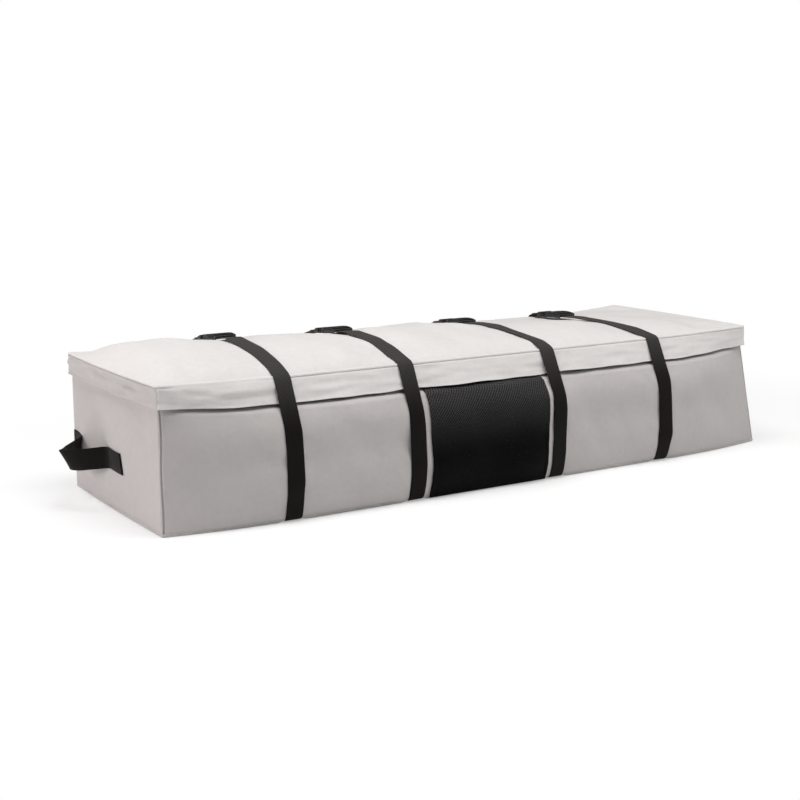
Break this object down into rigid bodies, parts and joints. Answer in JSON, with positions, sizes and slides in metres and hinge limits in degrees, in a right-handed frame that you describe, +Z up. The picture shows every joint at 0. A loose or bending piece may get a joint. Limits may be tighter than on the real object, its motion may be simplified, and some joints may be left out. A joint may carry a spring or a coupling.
{
  "type": "roof cargo bag",
  "caption": "Long soft roof bag with a crowned lid, storm flap over a zip, lashing straps with side-release buckles, a woven front panel and end handles.",
  "frame": {"origin": "on the ground, at the middle of the base between the end seams and between the front and back seams", "axes": "+X along the bag to its right end, +Y from the front to the back, +Z up"},
  "size_m": [1.4576, 0.4724, 0.2859],
  "materials": {
    "wall_fabric": "coated canvas, warm grey",
    "lid_fabric": "coated canvas, warm light grey",
    "woven_mesh": "coarse woven coated mesh, near black",
    "webbing": "woven polyester webbing, black",
    "zip_tape": "woven tape, black",
    "zip_teeth": "moulded teeth, black",
    "zip_metal": "black lacquered zinc",
    "buckle_plastic": "moulded acetal, black, semi-gloss"
  },
  "bodies": {
    "bag": {"base_panel": "wall_fabric", "front_panel": "wall_fabric", "back_panel": "wall_fabric", "left_end_panel": "wall_fabric", "right_end_panel": "wall_fabric", "lid_top_panel": "lid_fabric", "lid_skirt": "lid_fabric", "front_mesh_panel": "woven_mesh", "zip_tape_lower": "zip_tape", "zip_tape_upper": "zip_tape", "zip_teeth_lower": "zip_teeth", "zip_teeth_upper": "zip_teeth", "buckle_female_left_outer": "buckle_plastic", "buckle_female_left_inner": "buckle_plastic", "buckle_female_right_inner": "buckle_plastic", "buckle_female_right_outer": "buckle_plastic", "strap_left_outer": "webbing", "strap_left_inner": "webbing", "strap_right_inner": "webbing", "strap_right_outer": "webbing", "handle_left": "webbing", "handle_right": "webbing"},
    "slider_left": {"zip_slider_left": "zip_metal"},
    "slider_right": {"zip_slider_right": "zip_metal"},
    "pull_left": {"zip_pull_left": "zip_metal"},
    "pull_right": {"zip_pull_right": "zip_metal"},
    "male_left_outer": {"buckle_male_left_outer": "buckle_plastic"},
    "male_left_inner": {"buckle_male_left_inner": "buckle_plastic"},
    "male_right_inner": {"buckle_male_right_inner": "buckle_plastic"},
    "male_right_outer": {"buckle_male_right_outer": "buckle_plastic"}
  },
  "joints": [
    {"name": "zip_left_open", "type": "slide", "parent": "bag", "child": "slider_left", "axis": [-1, 0, 0], "range_m": [0, 0.385]},
    {"name": "zip_right_open", "type": "slide", "parent": "bag", "child": "slider_right", "axis": [1, 0, 0], "range_m": [0, 0.385]},
    {"name": "pull_left_swing", "type": "hinge", "parent": "slider_left", "child": "pull_left", "pos_m": [-0.0095, -0.19151, 0.219], "axis": [-1, 0, 0], "range_deg": [0, 30]},
    {"name": "pull_right_swing", "type": "hinge", "parent": "slider_right", "child": "pull_right", "pos_m": [0.0095, -0.19151, 0.219], "axis": [-1, 0, 0], "range_deg": [0, 30]},
    {"name": "buckle_left_outer_release", "type": "slide", "parent": "bag", "child": "male_left_outer", "axis": [0, -0.991, 0.1338], "range_m": [0, 0.025]},
    {"name": "buckle_left_inner_release", "type": "slide", "parent": "bag", "child": "male_left_inner", "axis": [0, -0.994, 0.1094], "range_m": [0, 0.025]},
    {"name": "buckle_right_inner_release", "type": "slide", "parent": "bag", "child": "male_right_inner", "axis": [0, -0.9951, 0.0986], "range_m": [0, 0.025]},
    {"name": "buckle_right_outer_release", "type": "slide", "parent": "bag", "child": "male_right_outer", "axis": [0, -0.9982, 0.0598], "range_m": [0, 0.025]}
  ]
}
